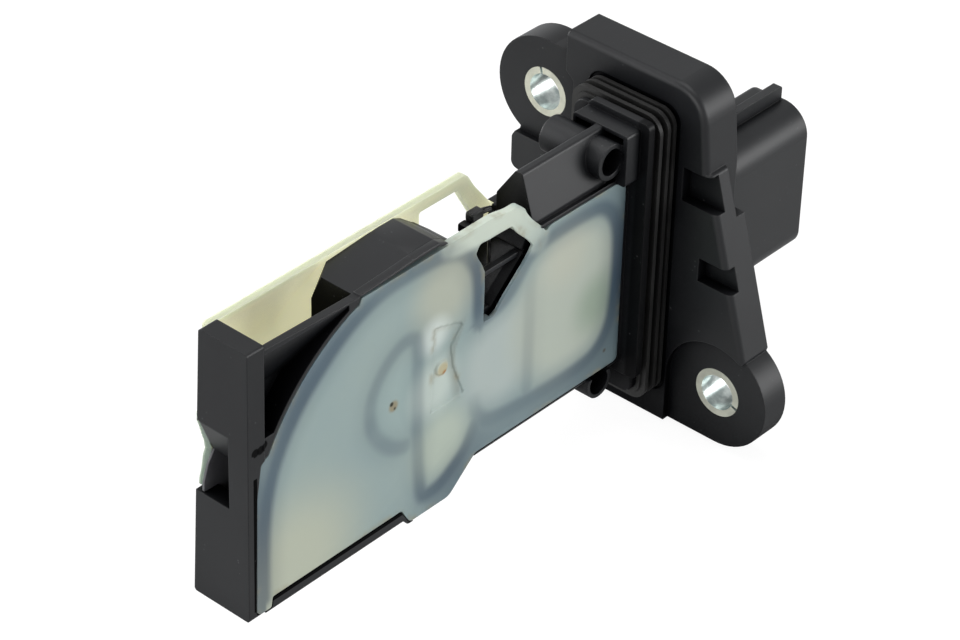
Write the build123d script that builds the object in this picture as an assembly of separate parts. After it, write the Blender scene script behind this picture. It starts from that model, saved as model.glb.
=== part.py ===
from build123d import *
import math
import os

# Mass airflow sensor with a flat plug-in blade, in millimetres.
# X runs along the blade: 0 is the flange's seat, minus is the tip, plus is the connector.
# Z runs across the blade, with the duct's mouth at the top, and Y runs through it.
# The near side is minus Y. Z = 0 and Y = 0 lie midway between the two screw holes.

# Blade
blade_length = 67.2
blade_half = 4.0
blade_top = 20.2
blade_bottom = -14.65
blade_foot = -11.9
blade_shoulder = 14.6
collar_back = 5.3
cover_thickness = 1.0
cover_clearance = 0.15
web_depth = 1.8
web_thickness = 1.0
wall = 1.2

# Tip wall
tip_wall = 2.5
tip_rise = 1.15
tip_near_lean = 0.4
tip_far_top = 2.7
tip_far_bottom = 4.5
notch_bottom = -0.3
notch_top = 9.2
notch_floor = -1.3

# Duct
duct_width = 14.5
duct_bottom = -1.2
duct_ramp = 9.8
mouth_near = 3.2
throat_top = 14.0
bar_height = 0.65
pocket_rim = 0.6

# Bypass passage
channel_left = -39.1
channel_right = -30.8
crown_height = 17.4
lobe_depth = 15.5
island_top = 9.8
island_reach = 9.4
island_bottom = -6.4
transfer_width = 8.0
transfer_height = 7.0

# Window with the air thermistor
window_left = -30.0
window_top = 17.1
window_bottom = 7.3
window_right = -22.6
window_lip = 0.35
window_rebate = 1.3
far_window_top = 18.9
far_window_left = -33.2
far_window_shift = 1.0
floor_ridge = -2.0
floor_drop = 1.2
bead_length = 2.0
bead_radius = 0.6
bead_height = 17.6
bead_place = -27.4
holder_half = 0.6
holder_left = -29.45
holder_near = -2.6
holder_height = 0.95
lead_radius = 0.2
lead_spread = 0.35
guard_top = 11.9
guard_height = 0.6
guard_near = -2.9
guard_width = 0.8

# Chamber with the circuit board
chamber_top = 10.6
chamber_bottom = -8.2
chamber_right = -6.7
chamber_floor = 1.1
board_thickness = 0.8
board_clearance = 0.4
package_length = 6.0
package_width = 5.0
tongue_length = 5.6
tongue_thickness = 0.8
tongue_lift = 0.4
chip_size = 2.4
chip_thickness = 0.3
controller_size = 5.0
controller_thickness = 1.0
capacitor_length = 2.0
capacitor_width = 1.25
capacitor_height = 0.9

# Neck, root and cross tubes
neck_foot = 15.1
neck_near = -3.5
neck_far = 2.0
neck_far_top = 16.9
neck_ridge = 20.9
neck_ridge_near = -1.7
neck_ridge_far = -0.7
neck_end = -21.45
root_length = 2.4
root_near = -5.4
root_far = 2.7
root_top = 21.0
collar_thickness = 1.0
collar_near = -6.6
collar_far = 2.5
collar_top = 21.85
collar_bottom = -13.65
upper_tube_radius = 2.3
upper_tube_bore = 1.7
lower_tube_radius = 2.1
lower_tube_bore = 1.6
tube_half_length = 4.5

# Seal
seal_half_width = 6.6
seal_top = 21.65
seal_bottom = -18.05
seal_corner = 2.2
seat_depth = 1.2
lip_height = 0.7
seal_recess = 0.3
recess_clearance = 0.3
lip_thickness = 0.55
lip_places = (-3.0, -1.6, -0.55)

# Flange
hole_y = 14.2
hole_z = 14.85
ear_radius = 7.2
layer_thickness = 0.9
ear_thickness = 3.9
block_thickness = 4.7
slope_thickness = 2.4
flange_top = 25.1
flange_bottom = -22.15
block_far = 10.4
block_near = -11.1
scallop_radius = 7.15
flange_rounding = 4.5
rim_rounding = 0.8
lug_far = 18.4
lug_top = 7.4
lug_bottom = 3.2

# Bushes
bush_radius = 3.2
bush_bore = 2.33
bush_slit = 0.35
upper_slit_turn = 75
lower_slit_turn = 200

# Connector
connector_length = 24.0
connector_half = 4.4
connector_top = 7.75
connector_bottom = -12.3
shroud_wall = 1.2
cavity_depth = 16.0
key_height = 2.0
key_near = -0.3
key_far = 0.8
hump_height = 1.55
hump_far = 2.9
terminal_count = 6
terminal_pitch = 2.2
terminal_middle = -2.5
terminal_width = 1.2
terminal_thickness = 0.6
terminal_reach = 9.5

# Places that follow from the sizes
tip_x = -blade_length
duct_left = tip_x + tip_wall
duct_right = duct_left + duct_width
inner_half = blade_half - cover_thickness
web_near = web_depth - inner_half
web_far = web_near + web_thickness
seat_half_width = seal_half_width - seat_depth
seat_top = seal_top - seat_depth
seat_bottom = seal_bottom + seat_depth
collar_front = collar_thickness - collar_back
ear_back = layer_thickness + ear_thickness
block_back = layer_thickness + block_thickness
connector_end = ear_back + connector_length
board_near = chamber_floor - board_thickness
terminal_start = chamber_right - 2.6
over = 0.5


def outline(*corners):
    """Closed flat face from corners (a, b) or (a, b, radius)."""
    points = [Vector(corner[0], corner[1]) for corner in corners]
    radii = [corner[2] if len(corner) == 3 else 0 for corner in corners]
    count = len(points)
    arrive = []
    leave = []
    edges = []
    for i in range(count):
        corner = points[i]
        back = (points[i - 1] - corner).normalized()
        ahead = (points[(i + 1) % count] - corner).normalized()
        if radii[i] == 0:
            arrive.append(corner)
            leave.append(corner)
            continue
        half_angle = math.radians(back.get_angle(ahead)) / 2
        reach = radii[i] / math.tan(half_angle)
        inward = radii[i] / math.sin(half_angle) - radii[i]
        middle = corner + (back + ahead).normalized() * inward
        arrive.append(corner + back * reach)
        leave.append(corner + ahead * reach)
        edges.append(ThreePointArc(arrive[i], middle, leave[i]))
    for i in range(count):
        following = arrive[(i + 1) % count]
        if (following - leave[i]).length > 0.001:
            edges.append(Line(leave[i], following))
    return make_face(edges)


def slab(face, y_low, y_high):
    """Solid of an XZ face between two Y values."""
    placed = Plane.XZ.offset(-y_high) * face
    return extrude(placed, y_high - y_low, dir=(0, -1, 0))


def prism(face, x_low, x_high):
    """Solid of a YZ face between two X values."""
    placed = Plane.YZ.offset(x_low) * face
    return extrude(placed, x_high - x_low, dir=(1, 0, 0))


def block(x_low, x_high, y_low, y_high, z_low, z_high):
    """Rectangular solid between its limits."""
    size = (x_high - x_low, y_high - y_low, z_high - z_low)
    centre = ((x_low + x_high) / 2, (y_low + y_high) / 2, (z_low + z_high) / 2)
    return Pos(*centre) * Box(*size)


def rod_y(x, z, radius, y_low, y_high):
    """Round rod along Y."""
    return Pos(x, (y_low + y_high) / 2, z) * Rot(90, 0, 0) * Cylinder(radius, y_high - y_low)


def rod_x(y, z, radius, x_low, x_high):
    """Round rod along X."""
    return Pos((x_low + x_high) / 2, y, z) * Rot(0, 90, 0) * Cylinder(radius, x_high - x_low)


def rounded_rectangle(a_low, a_high, b_low, b_high, radius):
    """Face between its limits with four equal corner radii."""
    return outline(
        (a_low, b_low, radius),
        (a_high, b_low, radius),
        (a_high, b_high, radius),
        (a_low, b_high, radius),
    )


# Lines that the housing and its two covers share
lobe_left = channel_left - 2.6
lobe_right = channel_right - 4.4
cover_foot = blade_foot + 0.35
cover_heel = collar_back + 0.45
cover_sill = blade_bottom + 1.65
loop_corner = window_right - 2.5
loop_heel = window_right + 2.1


def lower_edge(left):
    """Corners that both covers share, from the right end along the bottom to the left end."""
    return [
        (-cover_heel, cover_foot, 0.8),
        (channel_right, cover_foot, 1.0),
        (lobe_right, -lobe_depth + 0.15, 1.8),
        (lobe_left, -lobe_depth + 0.15, 1.0),
        (lobe_left - 1.4, cover_sill, 0.6),
        (left, cover_sill, 0.3),
    ]


def near_cover_face():
    """Near cover seen from its side, with the curved edge beside the duct's mouth."""
    shoulder = blade_shoulder - 0.6
    return outline(
        (duct_left - 1.3, cover_sill - 1.4, 0.8),
        (duct_left - 1.0, notch_bottom + 2.0, 1.0),
        (duct_left - 0.4, 6.0, 0.6),
        (duct_left + 0.8, 6.4, 0.4),
        (duct_left + 5.6, throat_top + 1.1, 26.0),
        (duct_right + 0.2, blade_top - 1.3, 0.3),
        (duct_right + 0.5, blade_top - 0.2, 0.5),
        (loop_corner, blade_top, 1.0),
        (loop_heel, shoulder, 0.8),
        (-cover_heel, shoulder, 1.6),
        *lower_edge(duct_left + 1.1),
        (duct_left + 0.9, cover_sill - 1.4, 0.3),
    )


def far_cover_face():
    """Far cover seen from its side: it closes the duct up to the tip."""
    left = duct_left - 0.8
    return outline(
        (left, blade_top, 0.3),
        (loop_corner - 0.4, blade_top, 1.2),
        (loop_heel - 0.4, blade_shoulder - 0.2, 1.0),
        (-cover_heel, blade_shoulder - 0.2, 1.6),
        *lower_edge(left),
        (left, notch_bottom, 0.2),
        (left + 1.4, (notch_bottom + notch_top) / 2 - 0.9, 0.3),
        (left, notch_top - 1.6, 0.2),
    )


def window_face(top):
    """Opening in the covers round the thermistor."""
    return outline(
        (window_left, window_bottom + 5.8, 0.3),
        (window_left - 1.2, window_top - 1.1, 0.3),
        (window_left - 0.6, top, 0.4),
        (window_right - 3.1, top, 0.5),
        (window_right + 0.1, window_top - 4.3, 0.4),
        (window_right - 0.1, window_bottom + 4.9, 0.3),
        (window_left + 1.9, window_bottom, 0.4),
        (window_left + 0.1, window_bottom, 0.3),
    )


def far_window_face():
    """Opening in the far cover, which reaches further left and higher than the near one."""
    shift = far_window_shift
    return outline(
        (window_left - shift, window_bottom + 5.8, 0.3),
        (far_window_left, window_top + 0.2, 0.3),
        (far_window_left, far_window_top, 0.3),
        (window_right - 3.2 - shift, far_window_top, 0.5),
        (window_right + 0.1 - shift, window_top - 3.7, 0.4),
        (window_right - 0.1 - shift, window_bottom + 4.9, 0.3),
        (window_left + 1.9 - shift, window_bottom, 0.4),
        (window_left + 0.1 - shift, window_bottom, 0.3),
    )


def chamber_face():
    """Board chamber seen from the near side."""
    left = channel_right + wall - 0.2
    return outline(
        (left, window_bottom - 2.8, 0.8),
        (left + 3.3, window_bottom - 3.0, 1.0),
        (window_right + 0.1, window_bottom - 0.4, 1.5),
        (window_right + 2.3, chamber_top - 0.8, 1.0),
        (window_right + 5.6, chamber_top, 2.0),
        (chamber_right - 2.5, chamber_top, 1.0),
        (chamber_right, chamber_top - 2.6, 1.0),
        (chamber_right, chamber_bottom + 3.4, 1.0),
        (chamber_right - 2.5, chamber_bottom + 0.6, 1.0),
        (window_right, chamber_bottom, 2.0),
        (left + 3.5, chamber_bottom, 1.0),
        (left, chamber_bottom + 1.9, 0.8),
    )


def make_tip():
    """End wall with a leaning far side and the outlet notch."""
    top = blade_top + tip_rise
    profile = outline(
        (-blade_half, blade_bottom, 0.4),
        (-blade_half - tip_near_lean, top, 0.4),
        (tip_far_top, top, 0.4),
        (tip_far_bottom, blade_bottom, 0.4),
    )
    return prism(profile, tip_x, duct_left)


def make_blade_block():
    """Blade between tip wall and collar, before its hollows are cut."""
    side = outline(
        (duct_left, blade_bottom),
        (lobe_left - 1.0, blade_bottom, 0.4),
        (lobe_left - 0.4, -lobe_depth, 0.8),
        (lobe_right, -lobe_depth, 2.0),
        (channel_right - 0.5, blade_foot, 1.2),
        (-collar_back, blade_foot),
        (-collar_back, blade_shoulder),
        (window_right + 1.6, blade_shoulder, 0.3),
        (window_right - 0.1, window_bottom + 4.9, 0.3),
        (window_left + 1.9, window_bottom - 0.2, 0.5),
        (window_left, window_bottom - 0.2, 0.3),
        (window_left, window_bottom + 5.6, 1.5),
        (window_left - 1.2, blade_top - 4.2, 2.0),
        (window_left - 4.3, blade_top - 1.6, 2.0),
        (channel_left - 1.9, blade_top + 0.3, 1.5),
        (duct_right - over, blade_top - 0.4),
        (duct_left, blade_top + 0.2),
    )
    return slab(side, -blade_half, blade_half)


def make_neck():
    """Roof-shaped neck between the window and the root, with the root block and its two tubes."""
    section = outline(
        (neck_near, chamber_top),
        (neck_near, neck_foot, 0.3),
        (neck_ridge_near, neck_ridge, 0.4),
        (neck_ridge_far, neck_ridge, 0.4),
        (neck_far, neck_far_top, 0.5),
        (neck_far, chamber_top),
    )
    neck = prism(section, neck_end, -collar_back)
    root_profile = rounded_rectangle(root_near, root_far, blade_shoulder - 0.4, root_top, 0.4)
    root = prism(root_profile, -collar_back - root_length, -collar_back)
    far_pocket = block(-collar_back - root_length - over, -collar_back - 1.2,
                       0, root_far - 0.4, root_top - 1.3, root_top - 0.5)
    near_pocket = block(-collar_back - root_length - over, -collar_back - 1.2,
                        root_near + 0.6, -0.8, root_top - 1.3, root_top - 0.5)
    return neck + (root - far_pocket - near_pocket)


upper_tube_x = -collar_back - root_length - 1.5
upper_tube_z = neck_ridge - 2.9
lower_tube_x = -collar_back - root_length - 1.8
lower_tube_z = blade_foot - 0.8


def make_tubes():
    """Two cross tubes beside the root."""
    upper = rod_y(upper_tube_x, upper_tube_z, upper_tube_radius, -tube_half_length, tube_half_length)
    lower = rod_y(lower_tube_x, lower_tube_z, lower_tube_radius, -tube_half_length, tube_half_length)
    return upper + lower


def tube_bores():
    """Holes through the cross tubes."""
    reach = tube_half_length + over
    upper = rod_y(upper_tube_x, upper_tube_z, upper_tube_bore, -reach, reach)
    lower = rod_y(lower_tube_x, lower_tube_z, lower_tube_bore, -reach, reach)
    return upper + lower


def make_collar():
    """Collar plate and the seat that carries the seal."""
    collar_face = rounded_rectangle(collar_near, collar_far, collar_bottom, collar_top, 0.8)
    collar = prism(collar_face, -collar_back, collar_front)
    seat_face = rounded_rectangle(-seat_half_width, seat_half_width, seat_bottom, seat_top,
                                  seal_corner - seat_depth / 2)
    return collar + prism(seat_face, collar_front, layer_thickness)


def flange_face():
    """Flange outline without its ears, in Y and Z."""
    return outline(
        (-hole_y - 4.0, -hole_z + 6.6),
        (-hole_y, flange_bottom + 0.1),
        (hole_y - 6.7, flange_bottom, 4.0),
        (hole_y - 2.5, -hole_z - 0.2, 3.0),
        (lug_far - 2.0, lug_bottom - 0.4, 0.6),
        (lug_far, lug_bottom, 1.0),
        (lug_far, lug_top, 0.8),
        (hole_y + 3.7, hole_z - 6.6),
        (hole_y, hole_z + ear_radius - 0.1),
        (block_far, hole_z + ear_radius - 0.1),
        (block_far, flange_top),
        (block_near + 1.1, flange_top, flange_rounding),
        (block_near, hole_z),
        (-hole_y + 2.6, hole_z - 0.2, 0.5),
    )


def make_flange():
    """Two-layer flange: seat layer with scallops and notches, ears and the thicker upper block."""
    plate = prism(flange_face(), 0, ear_back)
    front_edges = plate.faces().sort_by(Axis.X)[0].edges()
    rim = [edge for edge in front_edges if edge.center().Z > -hole_z and edge.center().Y < block_far - over]
    plate = fillet(rim, rim_rounding)
    ears = Pos(-hole_y, -hole_z) * Circle(ear_radius) + Pos(hole_y, hole_z) * Circle(ear_radius)
    plate += prism(ears, layer_thickness, ear_back)
    lower_scallop = (
        Pos(-hole_y, -hole_z) * Circle(scallop_radius)
        + outline(
            (-hole_y - 2 * ear_radius, -hole_z),
            (-hole_y + scallop_radius, -hole_z),
            (-hole_y + scallop_radius, flange_bottom - over),
            (-hole_y - 2 * ear_radius, flange_bottom - over),
        )
    )
    upper_scallop = outline(
        (block_far, flange_top + over),
        (block_far, hole_z + 5.0),
        (block_far - 1.2, hole_z + 4.0),
        (block_far - 1.2, hole_z - 6.7, 4.0),
        (hole_y + 2 * ear_radius, hole_z - 6.7),
        (hole_y + 2 * ear_radius, flange_top + over),
    )
    plate -= prism(lower_scallop, -over, layer_thickness)
    plate -= prism(upper_scallop, -over, layer_thickness)
    slope_cut = outline(
        (block_near - 5 * over, hole_z + 2.0),
        (block_near, hole_z + 2.0),
        (block_near, hole_z - 6.2),
        (-hole_y - 2 * over, hole_z - 6.2, 0.8),
        (-hole_y - 6 * over, hole_z - 8.0),
        (-hole_y - 6 * over, hole_z + 2.0),
    )
    plate -= prism(slope_cut, layer_thickness + slope_thickness, ear_back + over)
    upper = outline(
        (block_near, hole_z - 6.2),
        (block_far, hole_z - 6.2),
        (block_far, flange_top),
        (block_near + 1.1, flange_top, flange_rounding),
        (block_near, hole_z),
    )
    flange = plate + prism(upper, ear_back, block_back)
    recess = rounded_rectangle(
        -seal_half_width - recess_clearance,
        seal_half_width + recess_clearance,
        seal_bottom - recess_clearance,
        seal_top + recess_clearance,
        seal_corner,
    )
    flange -= prism(recess, -over, seal_recess)
    notch_depth = layer_thickness + 0.6
    flange -= block(-over, notch_depth, -hole_y - 6, -7.7, hole_z - 4.85, hole_z - 0.35)
    flange -= block(-over, notch_depth, -hole_y - 6, -10.8, 0.15, 3.3)
    return flange


def bush_holes():
    """Holes in the ears that take the two bushes."""
    lower = rod_x(-hole_y, -hole_z, bush_radius, -over, block_back + over)
    upper = rod_x(hole_y, hole_z, bush_radius, -over, block_back + over)
    return lower + upper


def connector_face(inset):
    """Connector outline in Y and Z, drawn in by an inset."""
    half = connector_half - inset
    return outline(
        (half, connector_top - inset, 3.8 - inset),
        (-half, connector_top - inset, 3.8 - inset),
        (-half, connector_bottom + inset, 2.5 - inset),
        (half, connector_bottom + inset, 2.5 - inset),
    )


def make_connector():
    """Plug shroud with its socket and the key on its top."""
    shroud = prism(connector_face(0), layer_thickness, connector_end)
    socket = prism(connector_face(shroud_wall), connector_end - cavity_depth, connector_end + over)
    key_side = outline(
        (ear_back - over, connector_top - 1.0),
        (ear_back - over, connector_top + key_height),
        (connector_end - 0.3, connector_top + key_height, 0.5),
        (connector_end - 0.3, connector_top - 1.0),
    )
    key = slab(key_side, key_near, key_far)
    hump_side = outline(
        (ear_back - over, connector_top - 1.4),
        (ear_back - over, connector_top + hump_height),
        (connector_end - 1.3, connector_top + hump_height, 1.4),
        (connector_end - 1.3, connector_top - 1.4),
    )
    hump = slab(hump_side, key_far - over, hump_far)
    ridge = hump.faces().sort_by(Axis.Z)[-1].edges().filter_by(Axis.X).sort_by(Axis.Y)[-1]
    hump = fillet(ridge, 0.7)
    return shroud + key + (hump - socket) - socket


def terminal_place(index):
    """Height of a terminal's middle."""
    return terminal_middle + (index - (terminal_count - 1) / 2) * terminal_pitch


def make_terminal(index):
    """Flat pin from the board to the connector's socket, with a tapered tip."""
    tip = connector_end - cavity_depth + terminal_reach
    half = terminal_thickness / 2
    pin_face = outline(
        (terminal_start, -half),
        (tip - 1.0, -half),
        (tip, -half / 2),
        (tip, half / 2),
        (tip - 1.0, half),
        (terminal_start, half),
    )
    low = terminal_place(index) - terminal_width / 2
    return extrude(Plane.XY.offset(low) * pin_face, terminal_width, dir=(0, 0, 1))


def terminal_slot(index):
    """Straight hole that the housing leaves for a terminal."""
    half = terminal_thickness / 2
    middle = terminal_place(index)
    return block(terminal_start, connector_end - cavity_depth + over, -half, half,
                 middle - terminal_width / 2, middle + terminal_width / 2)


def duct_hollow():
    """Inlet duct: a funnel at its mouth, straight below, closed by the far cover."""
    side = outline(
        (duct_left, blade_top + 2 * tip_rise),
        (duct_right, blade_top + 2 * tip_rise),
        (duct_right, duct_bottom, 1.0),
        (duct_left + 4.7, duct_bottom, 2.0),
        (duct_left, duct_ramp),
    )
    section = outline(
        (-mouth_near, blade_top + 2 * tip_rise),
        (-mouth_near, blade_top + 0.2),
        (web_far, throat_top),
        (web_far, duct_bottom - over),
        (inner_half, duct_bottom - over),
        (inner_half, blade_top + 2 * tip_rise),
    )
    return prism(section, duct_left, duct_right) & slab(side, -blade_half, inner_half)


def mouth_pocket():
    """Three-cornered recess beside the mouth, on the near side of the duct's leaning wall."""
    bar = blade_top + 0.2 - bar_height
    field = outline(
        (duct_left + 0.2, bar - 0.1),
        (duct_left + 0.1, duct_ramp - 0.8, 0.3),
        (duct_right - 1.4, duct_ramp - 0.8),
        (duct_right - 1.4, bar - 0.1, 0.3),
    )
    side = field - offset(near_cover_face(), pocket_rim)
    section = outline(
        (-blade_half - over, bar),
        (-blade_half, bar),
        (web_near, throat_top - 0.3),
        (web_near, 0),
        (-blade_half - over, 0),
    )
    return prism(section, duct_left, duct_right) & slab(side, -blade_half - over, web_near)


def passage_hollow():
    """Curled bypass passage in the near half, round its island and down past the sensor."""
    run = outline(
        (duct_left + 1.3, cover_sill + 0.5, 0.5),
        (duct_left + 2.1, -3.0, 3.0),
        (duct_left + 5.6, 6.6, 3.0),
        (duct_left + 11.9, 12.2, 3.0),
        (duct_right + 4.6, crown_height - 0.8, 4.0),
        (channel_left + 4.2, crown_height, 1.2),
        (channel_right - 1.2, crown_height - 2.6, 1.5),
        (channel_right, crown_height - 5.0, 1.0),
        (channel_right, chamber_bottom + 1.0, 2.0),
        (channel_right - 3.6, chamber_bottom - 4.6, 1.5),
        (channel_left, -lobe_depth + 2.0, 0.5),
        (channel_left - wall, cover_sill + 0.5, 0.2),
    )
    island = outline(
        (channel_left, island_top - 1.4, 0.8),
        (channel_left - 1.4, island_top, 0.8),
        (channel_left - 6.0, island_top, 3.0),
        (channel_left - island_reach, 0.9, 1.2),
        (channel_left - 4.6, island_bottom, 1.5),
        (channel_left - wall, island_bottom, 0.3),
        (channel_left - wall, -lobe_depth),
        (channel_left, -lobe_depth),
    )
    return slab(run, -blade_half, web_near) - slab(island, -blade_half - over, web_near + over)


def island_core():
    """Hollow that thins the island from the near side."""
    core = outline(
        (channel_left - wall, island_top - 2.2, 0.4),
        (channel_left - 5.6, island_top - 1.3, 2.2),
        (channel_left - island_reach + 1.7, 0.9, 0.8),
        (channel_left - 4.4, island_bottom + 1.4, 0.8),
        (channel_left - wall, island_bottom + 1.4, 0.3),
    )
    return slab(core, -blade_half, web_near)


def outlet_hollow():
    """Return passage in the far half, from the lobe back to the notch in the tip."""
    run = outline(
        (duct_left - tip_wall, notch_top),
        (duct_left, notch_top, 0.5),
        (duct_left + 4.1, duct_bottom - wall, 2.0),
        (channel_left + 1.0, duct_bottom - wall, 3.0),
        (channel_right - 2.2, chamber_bottom + 1.0, 2.0),
        (channel_right - 2.2, cover_sill + 0.3, 2.0),
        (duct_left + 1.3, cover_sill + 0.5, 1.0),
        (duct_left, notch_bottom, 0.5),
        (duct_left - tip_wall, notch_bottom),
    )
    notch = block(tip_x - over, duct_left + over, notch_floor, blade_half + over, notch_bottom, notch_top)
    return slab(run, web_far, inner_half) + notch


def transfer_windows():
    """Two ways through the web: duct to bypass passage, and bypass passage to outlet."""
    inlet = block(duct_right - transfer_width, duct_right, web_near - over, web_far + over,
                  duct_bottom + wall, duct_bottom + wall + transfer_height)
    outlet = block(channel_left + 0.6, channel_right - 2.4, web_near - over, web_far + over,
                   -lobe_depth + 3.0, chamber_bottom + 0.2)
    return inlet + outlet


def floor_cuts():
    """Wedges that leave the window's floor as a roof with its ridge near the near cover."""
    rise = Vector(window_right - window_left - 2.0, 0, 4.9)
    origin = (window_left + 1.9, 0, window_bottom - 0.2)
    along = Plane(origin=origin, x_dir=(0, 1, 0), z_dir=rise)
    near = outline(
        (floor_ridge, over),
        (floor_ridge, 0),
        (-blade_half - over, -floor_drop),
        (-blade_half - over, over),
    )
    far = outline(
        (floor_ridge, over),
        (floor_ridge, 0),
        (blade_half + over, -floor_drop),
        (blade_half + over, over),
    )
    return extrude(along * near, rise.length, dir=rise) + extrude(along * far, rise.length, dir=rise)


def make_holder():
    """Arm that carries the bead, and the guard rib across the window."""
    low = bead_height - bead_radius - 0.85
    right = bead_place - bead_length / 2
    plan = outline(
        (window_left - 1.6, holder_near),
        (right, holder_near, 0.3),
        (right, holder_half),
        (holder_left, holder_half, 0.2),
        (holder_left, holder_near + 1.1),
        (window_left - 1.6, holder_near + 1.1),
    )
    arm = extrude(Plane.XY.offset(low) * plan, holder_height, dir=(0, 0, 1))
    seat = block(holder_left, bead_place - 0.4, -holder_half, holder_half, low, bead_height - bead_radius)
    guard = block(window_left - over, window_right - 0.6, guard_near, guard_near + guard_width,
                  guard_top - guard_height, guard_top)
    return arm + seat + guard


def corner_cut():
    """Small slanted cut at the hump's corner beside the far cover."""
    first = Vector(duct_right, inner_half - 1.1, blade_top - 1.3)
    second = Vector(duct_right, inner_half, blade_top - 3.8)
    third = Vector(duct_right + 1.8, inner_half, blade_top - 1.0)
    outward = (second - first).cross(third - first)
    if outward.Z < 0:
        outward = outward * -1
    middle = (first + second + third) / 3
    depth = 4.0
    return Plane(origin=middle, x_dir=third - first, z_dir=outward) * Pos(0, 0, depth / 2) * Box(6, 6, depth)


def make_housing():
    """The one black moulding."""
    solid = make_blade_block() + make_neck() + make_tubes()
    solid += make_tip() + make_collar() + make_flange() + make_connector()
    solid -= slab(offset(near_cover_face(), cover_clearance), -blade_half - 2, -inner_half)
    solid -= slab(offset(far_cover_face(), cover_clearance), inner_half, blade_half + 2)
    solid -= block(duct_left - over, duct_right, inner_half, blade_half + over, blade_top, blade_top + over)
    solid -= duct_hollow()
    solid -= mouth_pocket()
    solid -= passage_hollow()
    solid -= island_core()
    solid -= outlet_hollow()
    solid -= transfer_windows()
    solid -= floor_cuts()
    solid -= corner_cut()
    solid += make_holder()
    solid -= make_lead(near_lead)
    solid -= make_lead(far_lead)
    solid -= slab(chamber_face(), -blade_half, chamber_floor)
    solid -= tube_bores()
    solid -= bush_holes()
    for index in range(terminal_count):
        solid -= terminal_slot(index)
    tongue_far = web_near - tongue_lift
    solid -= block(channel_right - over, channel_right + wall, -inner_half - over, tongue_far,
                   -package_width / 2 + terminal_middle, package_width / 2 + terminal_middle)
    return solid


def make_near_cover():
    """Near cover with its window, a shallow step where the gate sits, and the gate's bump."""
    cover = slab(near_cover_face(), -blade_half, -inner_half)
    window = window_face(window_top)
    cover -= slab(window, -blade_half - over, -inner_half + over)
    rebate = Pos(window_rebate, -window_rebate * 0.8) * window
    cover -= slab(rebate, -blade_half + window_lip, -inner_half + over)
    step = outline(
        (channel_left + 1.0, island_top - 0.3, 0.3),
        (channel_left + 0.6, -1.8, 0.3),
        (channel_left + 6.1, -1.8, 0.3),
        (channel_left + 4.3, 2.6, 1.0),
        (channel_left + 3.8, 5.7, 1.0),
        (channel_left + 5.8, island_top - 1.7, 0.3),
    )
    cover -= slab(step, -blade_half - over, -blade_half + 0.15)
    gate = rod_y(channel_left + 2.3, 3.6, 0.9, -blade_half - 0.1, -inner_half - over)
    return cover + gate


def make_far_cover():
    """Far cover with its loop round the thermistor."""
    cover = slab(far_cover_face(), inner_half, blade_half)
    return cover - slab(far_window_face(), inner_half - over, blade_half + over)


def make_seal():
    """Seal ring: a band on the seat with three lips."""
    def ring(grow, x_low, x_high):
        outer = rounded_rectangle(-seat_half_width - grow, seat_half_width + grow,
                                  seat_bottom - grow, seat_top + grow,
                                  seal_corner - seat_depth / 2 + grow / 2)
        inner = rounded_rectangle(-seat_half_width, seat_half_width, seat_bottom, seat_top,
                                  seal_corner - seat_depth / 2)
        return prism(outer - inner, x_low, x_high)

    seal = ring(seat_depth - lip_height, collar_front + 0.7, seal_recess)
    for place in lip_places:
        seal += ring(seat_depth, place - lip_thickness / 2, place + lip_thickness / 2)
    return seal


def make_bush(y, z, slit_turn):
    """Split rolled sleeve that carries a screw's clamping force."""
    sleeve = rod_x(y, z, bush_radius, layer_thickness, ear_back)
    sleeve -= rod_x(y, z, bush_bore, layer_thickness - over, ear_back + over)
    slit = block(layer_thickness - over, ear_back + over, 0, bush_radius + over, -bush_slit / 2, bush_slit / 2)
    return sleeve - Pos(0, y, z) * Rot(slit_turn, 0, 0) * slit


def make_bead():
    """Coated bead of the air thermistor, with a seat cut for each lead."""
    half = bead_length / 2
    shape = rounded_rectangle(-half, half, -bead_radius, bead_radius, bead_radius * 0.6)
    bead = slab(shape, -bead_radius, bead_radius)
    bead = chamfer(bead.faces().filter_by(Axis.Y).edges(), bead_radius * 0.3)
    bead = Pos(bead_place, 0, bead_height) * bead
    return bead - make_lead(near_lead) - make_lead(far_lead)


def make_lead(points):
    """Wire of the thermistor: out of the bead, one bend, then down to its seat."""
    path = Polyline(*points)
    first = Vector(*points[1]) - Vector(*points[0])
    ring = Plane(origin=points[0], z_dir=first) * Circle(lead_radius)
    return sweep(ring, path=path, transition=Transition.RIGHT)


def make_board():
    """Circuit board that lies on the chamber's floor."""
    return slab(offset(chamber_face(), -board_clearance), board_near, chamber_floor)


package_left = channel_right + wall + 0.6


def make_package():
    """Moulded sensor package: a block on the board with a tongue out into the passage."""
    low = terminal_middle - package_width / 2 + 0.1
    high = terminal_middle + package_width / 2 - 0.1
    tongue_far = web_near - tongue_lift
    tongue_near = tongue_far - tongue_thickness
    body = block(package_left, package_left + package_length, tongue_near, board_near, low, high)
    tongue_face = outline(
        (channel_right - tongue_length, low + 1.0, 0.5),
        (channel_right - tongue_length, high - 1.0, 0.5),
        (channel_right - 1.0, high, 0.5),
        (package_left + over, high),
        (package_left + over, low),
        (channel_right - 1.0, low, 0.5),
    )
    return body + slab(tongue_face, tongue_near, tongue_far)


def make_chip():
    """Flow chip on the tongue's near face."""
    near = web_near - tongue_lift - tongue_thickness
    middle = channel_right - tongue_length / 2
    half = chip_size / 2
    return block(middle - half, middle + half, near - chip_thickness, near,
                 terminal_middle - half, terminal_middle + half)


def make_controller():
    """Moulded controller on the board."""
    left = package_left + package_length + 1.2
    half = controller_size / 2
    body = block(left, left + controller_size, board_near - controller_thickness, board_near,
                 terminal_middle - half, terminal_middle + half)
    return chamfer(body.faces().sort_by(Axis.Y)[0].edges(), 0.2)


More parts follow.
